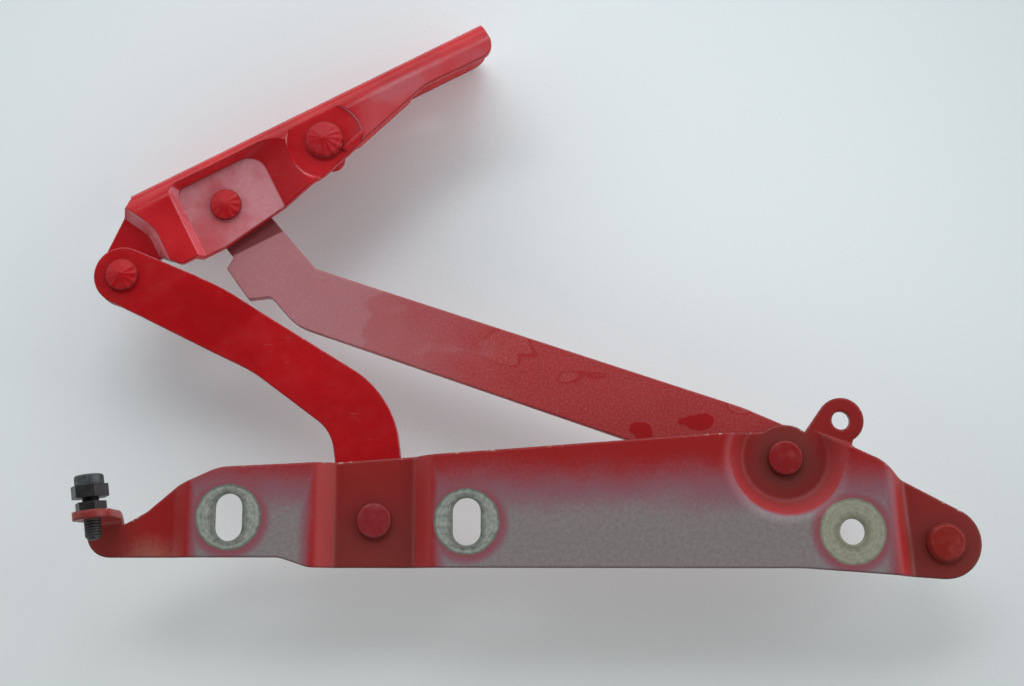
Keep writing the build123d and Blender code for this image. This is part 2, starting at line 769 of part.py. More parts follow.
# The same rivet beyond the shear plane: shank in the arm's bush, and the formed tail
lid_washer_seat = long_arm_lid_back - slide_gap - washer_thickness
with BuildPart() as long_arm_lid_rivet_tail:
    with BuildSketch(section_plane(lid_rear)):
        with BuildLine():
            rounded_outline([
                ((0, lid_washer_seat - tail_height), 0),
                ((tail_radius, lid_washer_seat - tail_height), tail_rounding),
                ((tail_radius, lid_washer_seat), edge_rounding),
                ((shank_radius, lid_washer_seat), 0),
                ((shank_radius, long_arm_lid_top + bush_flange), 0),
                ((0, long_arm_lid_top + bush_flange), 0),
            ])
        make_face()
    revolve(axis=upright(lid_rear))
long_arm_lid_rivet_tail.part.label = "long_arm_lid_rivet_tail"
export_step(long_arm_lid_rivet_tail.part, "parts/long_arm_lid_rivet_tail.step")

with BuildPart() as long_arm_lid_washer:
    with BuildSketch(Plane.XY.offset(lid_washer_seat)):
        with Locations(lid_rear):
            Circle(washer_radius)
            Circle(shank_radius, mode=Mode.SUBTRACT)
    extrude(amount=washer_thickness)
long_arm_lid_washer.part.label = "long_arm_lid_washer"
export_step(long_arm_lid_washer.part, "parts/long_arm_lid_washer.step")

# Flanged plain bushes, pressed into the four arm eyes with the flange against the sheet
# that the arm turns on: on the arm's top face, or on its back at the curved arm's lid end
bush_stacks = {
    "curved_arm_base_bush": (curved_arm_base, curved_arm_low_top, curved_arm_low_back),
    "long_arm_base_bush": (long_arm_base, long_arm_base_top, long_arm_base_back),
    "long_arm_lid_bush": (lid_rear, long_arm_lid_top, long_arm_lid_back),
    "curved_arm_lid_bush": (lid_front, curved_arm_high_back, curved_arm_high_top),
}
for bush_name, (centre, flanged_face, plain_face) in bush_stacks.items():
    outwards = 1 if flanged_face > plain_face else -1
    with BuildPart() as bush:
        with BuildSketch(Plane.XY.offset(plain_face)):
            with Locations(centre):
                Circle(bush_radius)
        extrude(amount=flanged_face - plain_face)
        with BuildSketch(Plane.XY.offset(flanged_face)):
            with Locations(centre):
                Circle(washer_radius)
        extrude(amount=outwards * bush_flange)
        with BuildSketch(Plane.XY.offset(plain_face - outwards)):
            with Locations(centre):
                Circle(shank_radius + running_gap)
        extrude(amount=outwards * (arm_sheet + bush_flange + 2), mode=Mode.SUBTRACT)
    bush.part.label = bush_name
    export_step(bush.part, "parts/" + bush_name + ".step")

# Ball studs of the gas strut
# Riveted through the sheet: a stepped head outside, a collar behind, a neck and the ball.
strut_studs = {
    "base_strut_stud": (base_strut_point, -pocket_depth, pocket_back, 0.3),
    "lid_strut_stud": (
        lid_strut_plan,
        -(lid_face_drop + stud_pad_depth),
        -(lid_face_drop + stud_pad_depth + lid_sheet),
        1.5,
    ),
}
for stud_name, (centre, head_seat, collar_seat, crown) in strut_studs.items():
    collar_end = collar_seat - stud_collar_height
    with BuildPart() as strut_stud:
        with BuildSketch(section_plane(centre)):
            with BuildLine():
                rounded_outline([
                    ((0, -strut_plane_depth), 0),
                    ((neck_radius, -strut_plane_depth), 0),
                    ((neck_radius, collar_end), 1),
                    ((stud_collar_radius, collar_end), 0.5),
                    ((stud_collar_radius, collar_seat), 0),
                    ((shank_radius, collar_seat), 0),
                    ((shank_radius, head_seat), 0),
                    ((stud_head_radius, head_seat), edge_rounding),
                    ((stud_head_radius, head_seat + head_height / 2), edge_rounding),
                    ((stud_head_radius - 0.9, head_seat + head_height / 2 + 0.2), 0.2),
                    ((stud_head_radius - 1.1, head_seat + head_height), 0.6),
                    ((0, head_seat + head_height + crown), 0),
                ])
            make_face()
        revolve(axis=upright(centre))
        with Locations((centre[0], centre[1], -strut_plane_depth)):
            Sphere(ball_radius)
    strut_stud.part.label = stud_name
    export_step(strut_stud.part, "parts/" + stud_name + ".step")

# Adjustable lid stop in the tab: a collared screw, a thin lock nut and a rubber cap
stop_plane = Plane(
    origin=(tab_centre[0], tab_centre[1], stop_axis_height),
    x_dir=tab_along,
    z_dir=tab_normal,
)
nut_end = tab_face + nut_height
collar_start = nut_end + screw_neck
collar_end = collar_start + collar_height
core_radius = screw_radius - 0.5

with BuildPart() as stop_screw:
    with BuildSketch(stop_plane.offset(-screw_end)):
        Circle(screw_radius)
    extrude(amount=screw_end + collar_start)
    chamfer(stop_screw.faces().sort_by(Axis(stop_plane.origin, stop_plane.z_dir))[0].edges(), length=1.2)
    with BuildSketch(stop_plane.offset(collar_start)):
        RegularPolygon(collar_across_flats / 2, 6, major_radius=False)
    extrude(amount=collar_height)
    with BuildSketch(stop_plane.offset(collar_end)):
        Circle(core_radius)
    extrude(amount=cap_height / 2)
stop_screw.part.label = "stop_screw"
export_step(stop_screw.part, "parts/stop_screw.step")

with BuildPart() as stop_lock_nut:
    with BuildSketch(stop_plane.offset(tab_face)):
        RegularPolygon(nut_across_flats / 2, 6, major_radius=False)
        Circle(screw_radius, mode=Mode.SUBTRACT)
    extrude(amount=nut_height)
stop_lock_nut.part.label = "stop_lock_nut"
export_step(stop_lock_nut.part, "parts/stop_lock_nut.step")

with BuildPart() as stop_buffer:
    with BuildSketch(stop_plane.offset(collar_end)):
        Circle(cap_radius)
    extrude(amount=cap_height)
    fillet(stop_buffer.faces().sort_by(Axis(stop_plane.origin, stop_plane.z_dir))[-1].edges(), radius=0.9)
    with BuildSketch(stop_plane.offset(collar_end)):
        Circle(core_radius)
    extrude(amount=cap_height / 2, mode=Mode.SUBTRACT)
stop_buffer.part.label = "stop_buffer"
export_step(stop_buffer.part, "parts/stop_buffer.step")
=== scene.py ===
import json
import math

import bpy
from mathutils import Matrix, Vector


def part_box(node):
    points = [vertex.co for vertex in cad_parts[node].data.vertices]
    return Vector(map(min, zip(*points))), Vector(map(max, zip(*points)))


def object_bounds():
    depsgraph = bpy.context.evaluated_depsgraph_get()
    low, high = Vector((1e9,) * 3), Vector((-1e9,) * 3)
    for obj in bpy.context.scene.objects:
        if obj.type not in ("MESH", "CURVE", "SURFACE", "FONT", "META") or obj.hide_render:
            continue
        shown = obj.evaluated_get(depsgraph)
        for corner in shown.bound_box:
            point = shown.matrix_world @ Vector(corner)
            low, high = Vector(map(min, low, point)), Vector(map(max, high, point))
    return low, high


# A four-bar boot-lid hinge, lying on a sheet. Metres, in the frame of the CAD model: +X runs to
# the nose of the base plate, +Y to the lid bracket, and +Z out of the plate's bolted face.
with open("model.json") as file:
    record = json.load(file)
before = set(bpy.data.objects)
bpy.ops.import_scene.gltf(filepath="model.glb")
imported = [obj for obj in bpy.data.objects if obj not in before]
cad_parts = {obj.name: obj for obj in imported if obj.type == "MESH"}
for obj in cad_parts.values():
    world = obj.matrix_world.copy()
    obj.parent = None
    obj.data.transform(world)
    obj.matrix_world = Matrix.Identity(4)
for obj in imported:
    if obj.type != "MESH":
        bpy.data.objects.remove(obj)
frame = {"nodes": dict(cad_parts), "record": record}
nodes = frame["nodes"]
cad_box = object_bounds()
scene = bpy.context.scene


# Base plate
# The pressing that bolts to the car's body: 3 mm steel, deep-drawn and dipped in grey primer. It
# was sprayed with the body from its upper edge, so the red thins out to bare primer towards the
# lower edge and around the bolts. Thin red looks dull and powdery, full red satin.
MM = 0.001


def srgb(code):
    """Linear colour, with alpha, of an sRGB hex value."""
    channels = [int(code[i:i + 2], 16) / 255 for i in (1, 3, 5)]
    linear = [c / 12.92 if c <= 0.04045 else ((c + 0.055) / 1.055) ** 2.4 for c in channels]
    return (*linear, 1.0)


def fill(tree, node, links):
    """Fills a node's sockets with values or with other nodes' outputs."""
    for key, value in links.items():
        if isinstance(value, bpy.types.NodeSocket):
            tree.links.new(value, node.inputs[key])
        else:
            node.inputs[key].default_value = value


def add_node(tree, kind, settings, links, output=0):
    """Adds a node with its settings and links, and returns one of its outputs."""
    node = tree.nodes.new("ShaderNode" + kind)
    for name, value in settings.items():
        setattr(node, name, value)
    fill(tree, node, links)
    return node.outputs[output]


# Settings that come back in every finish
ADD = {"operation": "ADD"}
SUBTRACT = {"operation": "SUBTRACT"}
MULTIPLY = {"operation": "MULTIPLY"}
SCALE_AND_ADD = {"operation": "MULTIPLY_ADD"}
ABSOLUTE = {"operation": "ABSOLUTE"}
SINE = {"operation": "SINE"}
LARGER = {"operation": "MAXIMUM"}
SMALLER = {"operation": "MINIMUM"}
LENGTH = {"operation": "LENGTH"}
ALONG = {"operation": "DOT_PRODUCT"}
EASED = {"interpolation_type": "SMOOTHSTEP"}
COLOURS = {"data_type": "RGBA"}

# Sockets of an eased rise: what it is of, where it begins and ends, and what it gives there
OF, FROM, TO, LEAST, MOST = range(5)

# Sockets of two coats of colour: the share of the upper one, the lower, the upper, and the result
SHARE, UNDER, OVER, LAYERED = 0, 6, 7, 2


def new_material(name):
    """A material, its tree, its shader, and its surface's place in metres of the frame."""
    material = bpy.data.materials.new(name)
    material.use_nodes = True
    tree = material.node_tree
    place = add_node(tree, "TexCoord", {}, {}, "Object")
    return material, tree, tree.nodes["Principled BSDF"], place


def clouds(tree, place, lump_mm, detail=3.0, stretch=(1, 1, 1), roughness=0.55):
    """Cloudy pattern from 0 to 1, with lumps of about that size, squeezed along each axis."""
    scale = [s / (lump_mm * MM) for s in stretch]
    spread = add_node(tree, "VectorMath", MULTIPLY, {0: place, 1: scale})
    links = {"Vector": spread, "Scale": 1.0, "Detail": detail, "Roughness": roughness}
    return add_node(tree, "TexNoise", {}, links)


def wander(tree, pattern, reach):
    """Pattern from 0 to 1, turned into a shift either way over that reach."""
    centred = add_node(tree, "Math", SUBTRACT, {0: pattern, 1: 0.5})
    return add_node(tree, "Math", MULTIPLY, {0: centred, 1: reach})


def coats(tree, colour, *layers):
    """Coats of colour, each over the last. A layer gives the pattern that it follows, where
    along the pattern it begins and is full, its share there, and its colour."""
    for pattern, begins, full, share, coat_hex in layers:
        cover = add_node(tree, "MapRange", EASED, {OF: pattern, FROM: begins, TO: full, MOST: share})
        layer = {SHARE: cover, UNDER: colour, OVER: srgb(coat_hex)}
        colour = add_node(tree, "Mix", COLOURS, layer, LAYERED)
    return colour


def reach_from(tree, place, point, counted=(1, 1, 0)):
    """Distance from a point, seen along Z unless counted takes in height too."""
    offset = add_node(tree, "VectorMath", SUBTRACT, {0: place, 1: point})
    counted_offset = add_node(tree, "VectorMath", MULTIPLY, {0: offset, 1: counted})
    return add_node(tree, "VectorMath", LENGTH, {0: counted_offset}, "Value")


def mount_place(name):
    """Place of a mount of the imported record."""
    return next(Vector(m["pos_m"]) for m in frame["record"]["mounts"] if m["name"] == name)


def middle(node_name):
    """Middle of a node's box."""
    low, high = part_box(node_name)
    return (low + high) / 2


def soft_edges(tree, radius_mm):
    """Normal that rounds the cut edges, and how near an edge is, from 0 to 1."""
    rounded = add_node(tree, "Bevel", {"samples": 6}, {"Radius": radius_mm * MM})
    surface = add_node(tree, "NewGeometry", {}, {}, "Normal")
    likeness = add_node(tree, "VectorMath", ALONG, {0: rounded, 1: surface}, "Value")
    return rounded, add_node(tree, "MapRange", EASED, {OF: likeness, FROM: 0.998, TO: 0.85})


def relief(tree, normal, *layers):
    """Normal with layers of relief, each a height pattern and its depth in millimetres."""
    for height, depth_mm in layers:
        links = {"Strength": 1.0, "Distance": depth_mm * MM, "Height": height, "Normal": normal}
        normal = add_node(tree, "Bump", {}, links)
    return normal


painted_edge_shade_hex = "#43221f"
painted_edge_highlight_hex = "#b0525a"
chip_lump_mm = 3.2


def edge_shade_highlight_and_chips(tree, place, colour, rounded, edge, chip_hex, chip_share, highlight_share):
    """Coat with painted shade along the edges that face away from the window, and with a painted
    highlight and chips along those that face it."""
    facing = add_node(tree, "SeparateXYZ", {}, {0: rounded}, "Y")
    away = add_node(tree, "MapRange", EASED, {OF: facing, FROM: -0.05, TO: -0.45, MOST: 0.75})
    towards = add_node(tree, "MapRange", EASED, {OF: facing, FROM: 0.05, TO: 0.45})
    lit_edge = add_node(tree, "Math", MULTIPLY, {0: edge, 1: towards})
    chipping = clouds(tree, place, chip_lump_mm, detail=5.0, roughness=0.7)
    chips = add_node(
        tree, "MapRange", EASED, {OF: chipping, FROM: 0.575, TO: 0.605, MOST: chip_share}
    )
    for where, share, coat_hex in (
        (edge, away, painted_edge_shade_hex),
        (lit_edge, highlight_share, painted_edge_highlight_hex),
        (lit_edge, chips, chip_hex),
    ):
        cover = add_node(tree, "Math", MULTIPLY, {0: where, 1: share})
        layer = {SHARE: cover, UNDER: colour, OVER: srgb(coat_hex)}
        colour = add_node(tree, "Mix", COLOURS, layer, LAYERED)
    return colour


def dress(node_name, material):
    """Gives a CAD node its finish."""
    node = nodes[node_name]
    node.data.materials.clear()
    node.data.materials.append(material)


slot_places = [mount_place("first_bolt_slot"), mount_place("second_bolt_slot")]
round_hole = mount_place("round_bolt_hole")
bolt_places = (*slot_places, round_hole)
channel_middle = slot_places[1].x - 34.9 * MM

# Where each of these catches more spray: where it begins, and where it is full
channel_flank = (30 * MM, 19 * MM)
tail_ramp = (slot_places[0].x - 8 * MM, slot_places[0].x - 18 * MM)
nose_ramp = (round_hole.x + 8 * MM, round_hole.x + 21 * MM)
sunk_depths = (-0.2 * MM, -2.5 * MM)
bolt_halo = (18 * MM, 12.5 * MM)

# Between these heights up the plate, bare primer turns to full red
bare_height = -2 * MM
red_height = 36 * MM
drift_lump_mm = 24.0


def spray_coverage(tree, place, height, drift, grain, from_bolt):
    """How much of the red arrived, from 0 to 1."""
    x, z = (add_node(tree, "SeparateXYZ", {}, {0: place}, axis) for axis in "XZ")
    from_channel = add_node(tree, "Math", SUBTRACT, {0: x, 1: channel_middle})
    from_channel = add_node(tree, "Math", ABSOLUTE, {0: from_channel})
    from_channel = add_node(tree, "Math", ADD, {0: from_channel, 1: wander(tree, drift, 6 * MM)})

    # Much arrived at the upper edge and next to none at the lower one
    rise = {OF: height, FROM: bare_height, TO: red_height, MOST: 0.95}
    coverage = add_node(tree, "MapRange", EASED, rise)

    # The channel, tail, nose and sunken floors caught more, and so did a halo round each bolt
    # head, where the spray crept under its rim
    for pattern, begins, full, share in (
        (from_channel, *channel_flank, 1.0),
        (x, *tail_ramp, 1.0),
        (x, *nose_ramp, 1.0),
        (z, *sunk_depths, 0.8),
        (from_bolt, *bolt_halo, 0.55),
    ):
        more = add_node(tree, "MapRange", EASED, {OF: pattern, FROM: begins, TO: full, MOST: share})
        coverage = add_node(tree, "Math", LARGER, {0: coverage, 1: more})
    grainy = {0: coverage, 1: wander(tree, grain, 0.3)}
    return add_node(tree, "Math", {"operation": "ADD", "use_clamp": True}, grainy)


primer_hex = "#736969"
primer_pale_hex = "#938a88"
mist_hex = "#80515a"
sprayed_red_hex = "#901b1b"
sunk_red_hex = "#861c1c"
brown_dust_and_shade_hex = "#5d3a33"
faded_hex = "#96665a"
faded_place = (slot_places[0].x - 29 * MM, -13 * MM, 0.0)
fade_rim = (15 * MM, 3 * MM)
tab_foot_shade = (slot_places[0].x - 27 * MM, slot_places[0].x - 45 * MM)
deeper_red_depths = (-2.0 * MM, -6.0 * MM)
floor_depths = (-5.4 * MM, -6.3 * MM)
dusty_height = 30 * MM
dustiest_height = -8 * MM
pocket_rim = (15 * MM, 8 * MM)
primer_mottle_mm = 1.6


def sprayed_sheet(tree, place, height, coverage, drift, grain):
    """Colour of the primer under its mist of red, with the dust that settled on both."""
    x, z = (add_node(tree, "SeparateXYZ", {}, {0: place}, axis) for axis in "XZ")
    mottle = clouds(tree, place, primer_mottle_mm, detail=5.0, roughness=0.75)
    colour = coats(
        tree, srgb(primer_hex),
        (mottle, 0.3, 0.75, 0.5, primer_pale_hex),
        (coverage, 0.05, 0.45, 1.0, mist_hex),
        (coverage, 0.35, 0.9, 1.0, sprayed_red_hex),
        (z, *deeper_red_depths, 0.6, sunk_red_hex),
    )

    # Brown dust lies on the sunken floors, thicker towards the lower edge and in the round pocket
    on_floor = {OF: z, FROM: floor_depths[0], TO: floor_depths[1], MOST: 0.6}
    on_floor = add_node(tree, "MapRange", EASED, on_floor)
    low_down = {OF: height, FROM: dusty_height, TO: dustiest_height, LEAST: 0.15, MOST: 0.8}
    low_down = add_node(tree, "MapRange", EASED, low_down)
    from_rivet = reach_from(tree, place, middle("long_arm_base_rivet"))
    from_rivet = add_node(tree, "Math", ADD, {0: from_rivet, 1: wander(tree, drift, 10 * MM)})
    near_rivet = {OF: from_rivet, FROM: pocket_rim[0], TO: pocket_rim[1], MOST: 0.7}
    near_rivet = add_node(tree, "MapRange", EASED, near_rivet)
    dust = add_node(tree, "Math", ADD, {0: low_down, 1: near_rivet})
    dust = add_node(tree, "Math", MULTIPLY, {0: dust, 1: on_floor})
    layer = {SHARE: dust, UNDER: colour, OVER: srgb(brown_dust_and_shade_hex)}
    colour = add_node(tree, "Mix", COLOURS, layer, LAYERED)

    # The tail is darkened round the foot of its tab with brown painted shade of the tab, and faded beside
    # it
    from_fade = reach_from(tree, place, faded_place)
    from_fade = add_node(tree, "Math", ADD, {0: from_fade, 1: wander(tree, grain, 8 * MM)})
    return coats(
        tree, colour,
        (x, *tab_foot_shade, 0.45, brown_dust_and_shade_hex),
        (from_fade, *fade_rim, 0.6, faded_hex),
    )


zinc_dark_hex = "#6e726a"
zinc_hex = "#969a90"
zinc_light_hex = "#b0b2a4"
yellow_zinc_hex = "#9c9270"
darkened_zinc_hex = "#3d3f38"
ring_radius = 12.0 * MM
dirty_rim = 0.8 * MM
hole_reach = 9.5 * MM
hole_edge_darkening = (8.2 * MM, 5.4 * MM)
slot_straight = 3.6 * MM
turning_mark = 1.5 * MM
yellowed = (-30 * MM, -15 * MM)


def bare_zinc(tree, place, from_bolt):
    """Zinc that the bolt heads rubbed bare: how far it shows, and its mottled colour."""
    x, z = (add_node(tree, "SeparateXYZ", {}, {0: place}, axis) for axis in "XZ")
    uneven = wander(tree, clouds(tree, place, 3.0), 1.1 * MM)
    rim = add_node(tree, "Math", ADD, {0: from_bolt, 1: uneven})
    bare = {OF: rim, FROM: ring_radius + 0.5 * MM, TO: ring_radius + 0.1 * MM}
    bare = add_node(tree, "MapRange", EASED, bare)
    on_face = add_node(tree, "MapRange", EASED, {OF: z, FROM: -0.6 * MM, TO: -0.2 * MM})
    in_hole = {OF: from_bolt, FROM: hole_reach, TO: hole_reach - 0.3 * MM}
    in_hole = add_node(tree, "MapRange", EASED, in_hole)
    on_metal = add_node(tree, "Math", LARGER, {0: on_face, 1: in_hole})
    bare = add_node(tree, "Math", MULTIPLY, {0: bare, 1: on_metal})

    # Smears, and the faint turning marks of the bolt heads, drawn wider apart than real
    smear = clouds(tree, place, 2.2, detail=6.0, roughness=0.75)
    marks = add_node(tree, "Math", MULTIPLY, {0: rim, 1: 2 * math.pi / turning_mark})
    marks = add_node(tree, "Math", SINE, {0: marks})
    metal = add_node(tree, "Math", SCALE_AND_ADD, {0: marks, 1: 0.03, 2: smear})
    zinc = coats(
        tree, srgb(zinc_dark_hex),
        (metal, 0.28, 0.52, 1.0, zinc_hex),
        (metal, 0.50, 0.72, 1.0, zinc_light_hex),
        (rim, ring_radius - dirty_rim, ring_radius, 0.6, darkened_zinc_hex),
    )

    # The zinc darkens along the edge of each hole, which in a slot is a straight with round ends
    for centre, straight in zip(bolt_places, (slot_straight, slot_straight, 0.0)):
        beyond = add_node(tree, "VectorMath", SUBTRACT, {0: place, 1: centre})
        beyond = add_node(tree, "VectorMath", ABSOLUTE, {0: beyond})
        beyond = add_node(tree, "VectorMath", SUBTRACT, {0: beyond, 1: (0.0, straight, 0.0)})
        beyond = add_node(tree, "VectorMath", LARGER, {0: beyond, 1: (0.0, 0.0, 0.0)})
        from_hole = reach_from(tree, beyond, (0.0, 0.0, 0.0))
        from_hole = add_node(tree, "Math", ADD, {0: from_hole, 1: wander(tree, smear, 2.5 * MM)})
        zinc = coats(tree, zinc, (from_hole, *hole_edge_darkening, 0.55, darkened_zinc_hex))
    return bare, coats(tree, zinc, (x, *yellowed, 0.35, yellow_zinc_hex))


edge_chip_hex = "#c4b4a4"
spray_grain_mm = 1.2


def sprayed_primer():
    """Grey dip primer under a mist of red body paint, rubbed to bare zinc under the bolt heads.
    The grain of the spray is drawn several times coarser than real, so that it shows."""
    material, tree, shader, place = new_material("red_overspray_on_grey_primer")
    drift = clouds(tree, place, drift_lump_mm)
    grain = clouds(tree, place, spray_grain_mm, detail=4.0)
    press_waves = clouds(tree, place, 30.0, detail=1.0)
    rounded, edge = soft_edges(tree, radius_mm=1.5)
    y = add_node(tree, "SeparateXYZ", {}, {0: place}, "Y")
    height = add_node(tree, "Math", ADD, {0: y, 1: wander(tree, drift, 12 * MM)})
    distances = [reach_from(tree, place, bolt_place) for bolt_place in bolt_places]
    from_bolt = add_node(tree, "Math", SMALLER, {0: distances[0], 1: distances[1]})
    from_bolt = add_node(tree, "Math", SMALLER, {0: from_bolt, 1: distances[2]})

    coverage = spray_coverage(tree, place, height, drift, grain, from_bolt)
    colour = sprayed_sheet(tree, place, height, coverage, drift, grain)
    # Painted shade along the edges that face away from the window, painted highlight and chips along
    # those that face it
    colour = edge_shade_highlight_and_chips(tree, place, colour, rounded, edge, edge_chip_hex, 0.9, 0.15)
    bare, zinc = bare_zinc(tree, place, from_bolt)
    layer = {SHARE: bare, UNDER: colour, OVER: zinc}
    gloss = {OF: coverage, FROM: 0.3, TO: 1.0, LEAST: 0.58, MOST: 0.4}
    gloss = add_node(tree, "MapRange", EASED, gloss)
    fill(tree, shader, {
        "Base Color": add_node(tree, "Mix", COLOURS, layer, LAYERED),
        "Metallic": add_node(tree, "Math", MULTIPLY, {0: bare, 1: 0.4}),
        "Roughness": add_node(tree, "Math", ADD, {0: gloss, 1: wander(tree, grain, 0.18)}),
        "Specular IOR Level": 0.25,
        "Normal": relief(tree, rounded, (grain, 0.03), (press_waves, 0.4)),
    })
    return material


dress("base_plate", sprayed_primer())


# Curved arm and lid bracket
# The 4 mm arm that swings over the plate, and the 2.5 mm pressing that bolts to the lid. Both have
# the car's own solid red over primer: a smooth, wet-looking coat with a little orange peel that
# mirrors the window softly. Edges are chipped down to the metal, with painted shade along those that
# face away from the window and a painted highlight along those that face it. Steep slopes carry a
# painted reflection of the window, and so do the bracket's flats.
arm_red_hex = "#b01419"
bracket_red_hex = "#bb262b"
deep_red_hex = "#9c0f15"
painted_reflection_hex = "#cf9aa1"
scratch_hex = "#c98f8f"
along_bracket = (0.889, 0.457, 0.0)
ear_ends = (-264 * MM, -257 * MM)
orange_peel_mm = 1.6


def painted_flat_reflection(tree, place, colour, upright, drift, reflection_places):
    """Coat with a mottled painted reflection of the window on its flats, except on the lid bracket's
    ear. Each reflection place gives an axis, where along it the painted reflection begins and is full,
    and its share."""
    x = add_node(tree, "SeparateXYZ", {}, {0: place}, "X")
    fine = clouds(tree, place, 1.6, detail=6.0, roughness=0.7)
    fine = add_node(tree, "MapRange", EASED, {OF: fine, FROM: -0.5, TO: 0.65})
    broad = {OF: drift, FROM: 0.38, TO: 0.62, LEAST: 0.4, MOST: 1.0}
    broad = add_node(tree, "MapRange", EASED, broad)
    mottle = add_node(tree, "Math", MULTIPLY, {0: fine, 1: broad})
    flat = add_node(tree, "MapRange", EASED, {OF: upright, FROM: 0.93, TO: 0.99})
    off_ear = add_node(tree, "MapRange", EASED, {OF: x, FROM: ear_ends[0], TO: ear_ends[1]})
    mottle = add_node(tree, "Math", MULTIPLY, {0: mottle, 1: flat})
    mottle = add_node(tree, "Math", MULTIPLY, {0: mottle, 1: off_ear})
    for axis, begins, full, share in reflection_places:
        along = add_node(tree, "SeparateXYZ", {}, {0: place}, axis)
        rise = {OF: along, FROM: begins, TO: full, MOST: share}
        reflection = add_node(tree, "MapRange", EASED, rise)
        reflection = add_node(tree, "Math", MULTIPLY, {0: reflection, 1: mottle})
        layer = {SHARE: reflection, UNDER: colour, OVER: srgb(painted_reflection_hex)}
        colour = add_node(tree, "Mix", COLOURS, layer, LAYERED)
    return colour


def wall_reflection_and_scratches(tree, place, colour, rounded, upright, grime):
    """Coat with a painted reflection of the window on the steep drawn walls that cross the bracket, and
    with handling scratches, drawn a few times coarser than real so that they show."""
    crossing = add_node(tree, "VectorMath", ALONG, {0: rounded, 1: along_bracket}, "Value")
    crossing = add_node(tree, "Math", ABSOLUTE, {0: crossing})
    steep = add_node(tree, "MapRange", EASED, {OF: crossing, FROM: 0.4, TO: 0.55, MOST: 0.5})
    sloping = add_node(tree, "MapRange", EASED, {OF: upright, FROM: 0.2, TO: 0.5})
    patchy = add_node(tree, "MapRange", EASED, {OF: grime, FROM: 0.2, TO: 0.6})
    reflected_on_walls = add_node(tree, "Math", MULTIPLY, {0: steep, 1: sloping})
    reflected_on_walls = add_node(tree, "Math", MULTIPLY, {0: reflected_on_walls, 1: patchy})
    layer = {SHARE: reflected_on_walls, UNDER: colour, OVER: srgb(painted_reflection_hex)}
    colour = add_node(tree, "Mix", COLOURS, layer, LAYERED)

    hair = clouds(tree, place, 9.0, detail=4.0, stretch=(1.0, 14.0, 1.0))
    hair = add_node(tree, "MapRange", EASED, {OF: hair, FROM: 0.68, TO: 0.71})
    handled = add_node(tree, "MapRange", EASED, {OF: grime, FROM: 0.5, TO: 0.6, MOST: 0.2})
    scratch = add_node(tree, "Math", MULTIPLY, {0: hair, 1: handled})
    layer = {SHARE: scratch, UNDER: colour, OVER: srgb(scratch_hex)}
    return add_node(tree, "Mix", COLOURS, layer, LAYERED)


def body_paint(name, red_hex, reflection_places, rough, peel_depth_mm, shine, coat):
    """Glossy red body paint with orange peel, painted reflections, scratches, and chipped edges with
    painted shade and highlight.
    """
    material, tree, shader, place = new_material(name)
    rounded, edge = soft_edges(tree, radius_mm=1.0)
    upright = add_node(tree, "SeparateXYZ", {}, {0: rounded}, "Z")
    drift = clouds(tree, place, 26.0)
    grime = clouds(tree, place, 6.0, detail=6.0, roughness=0.7)
    peel = clouds(tree, place, orange_peel_mm, detail=2.0)
    press_waves = clouds(tree, place, 18.0, detail=1.0)
    colour = coats(tree, srgb(red_hex), (drift, 0.3, 0.7, 0.7, deep_red_hex))
    # Painted reflection of the window on the flats, then on the steep walls
    colour = painted_flat_reflection(tree, place, colour, upright, drift, reflection_places)
    colour = wall_reflection_and_scratches(tree, place, colour, rounded, upright, grime)
    # Painted shade along the edges that face away from the window, painted highlight and chips along
    # those that face it
    colour = edge_shade_highlight_and_chips(tree, place, colour, rounded, edge, edge_chip_hex, 0.5, 0.45)
    duller = add_node(tree, "MapRange", EASED, {OF: grime, FROM: 0.35, TO: 0.75, MOST: 0.2})
    normal = relief(tree, rounded, (peel, peel_depth_mm), (press_waves, 0.35))
    fill(tree, shader, {
        "Base Color": colour,
        "Roughness": add_node(tree, "Math", ADD, {0: duller, 1: rough}),
        "Specular IOR Level": shine,
        "Normal": normal,
        "Coat Weight": coat,
        "Coat Roughness": 0.06,
        "Coat Normal": normal,
    })
    return material


arm_paint = body_paint(
    "satin_red_body_paint", arm_red_hex, reflection_places=(),
    rough=0.26, peel_depth_mm=0.02, shine=0.22, coat=0.0,
)
dress("curved_arm", arm_paint)

# The bracket has a painted reflection of the window on its sunken pads, and a little on its end towards
# the plate's nose
pad_reflection = ("Z", -3.5 * MM, -6.5 * MM, 0.7)
end_reflection = ("X", -192 * MM, -176 * MM, 0.3)
bracket_paint = body_paint(
    "glossy_red_body_paint", bracket_red_hex, reflection_places=(pad_reflection, end_reflection),
    rough=0.12, peel_depth_mm=0.03, shine=0.1, coat=0.08,
)
dress("lid_bracket", bracket_paint)


# Long arm
# The 4 mm arm that steers the bracket, in the same red, but sprayed thinly and dry, so it looks
# dusty and brownish, palest at its lid end, where a painted reflection of the window adds to the
# dry spray. Where the spray was wet it ran, and left smooth redder streaks; two drops
# dried bright near the base end. Its neck under the bracket is darkened with painted shade.
pale_dry_spray_and_reflection_hex = "#a76a6e"
dry_red_hex = "#a42f2f"
dry_bloom_hex = "#bb8f90"
wet_red_hex = "#9c2527"
drop_hex = "#9c1418"
painted_neck_shade_hex = "#650f15"
dark_chip_hex = "#6b463f"
dry_grain_mm = 0.9
redder_from = -225 * MM
reddest_at = -90 * MM
across_bracket = (-along_bracket[1], along_bracket[0], 0.0)
neck_shade_begins = 202.2 * MM
neck_shade_bank = 0.8 * MM
run_bank = (0.50, 0.52)
rim_middle = 0.515
rim_line_begins = -150 * MM
drops = ((-75.5 * MM, 39.0 * MM), (-55.0 * MM, 42.5 * MM))
drop_rim = 4.6 * MM
drop_bank = 0.8 * MM
drop_stretch = (0.75, 1.3, 0.0)


